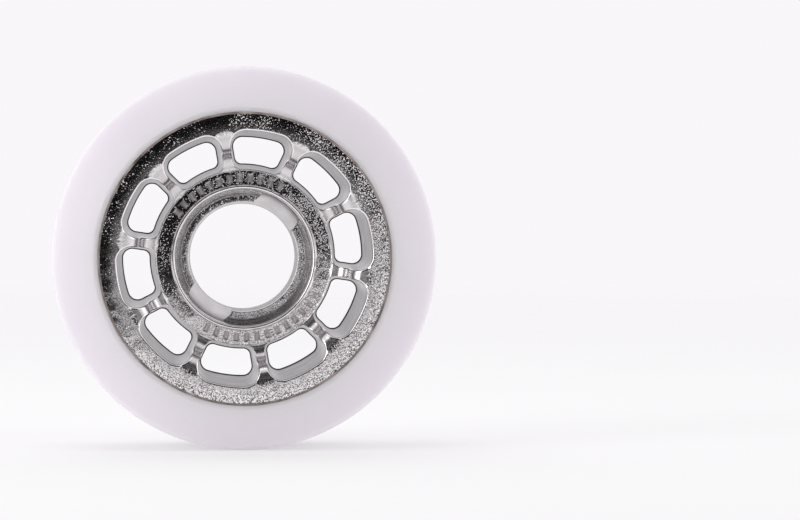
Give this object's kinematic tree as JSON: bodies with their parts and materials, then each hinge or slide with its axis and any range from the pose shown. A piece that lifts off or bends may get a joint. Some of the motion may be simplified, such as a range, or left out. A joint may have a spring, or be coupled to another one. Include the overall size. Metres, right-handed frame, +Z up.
{
  "type": "roller skate wheel",
  "caption": "Roller skate wheel: a grooved white urethane tyre cast on a spoked, bright-plated hub with windows, an open bore and a bearing seat at each end.",
  "frame": {"origin": "on the wheel's axis, halfway between the front rim and the end of the boss", "axes": "+Y along the axle, out of the boss at the back; -Y is the dished front; +Z up when the wheel stands"},
  "size_m": [0.061, 0.034, 0.061],
  "materials": {
    "tyre": "satin",
    "plated_hub": "polished",
    "print_ink": "matte"
  },
  "bodies": {
    "root": {"tyre": "tyre", "hub": "plated_hub", "print_marks": "print_ink"}
  },
  "joints": []
}
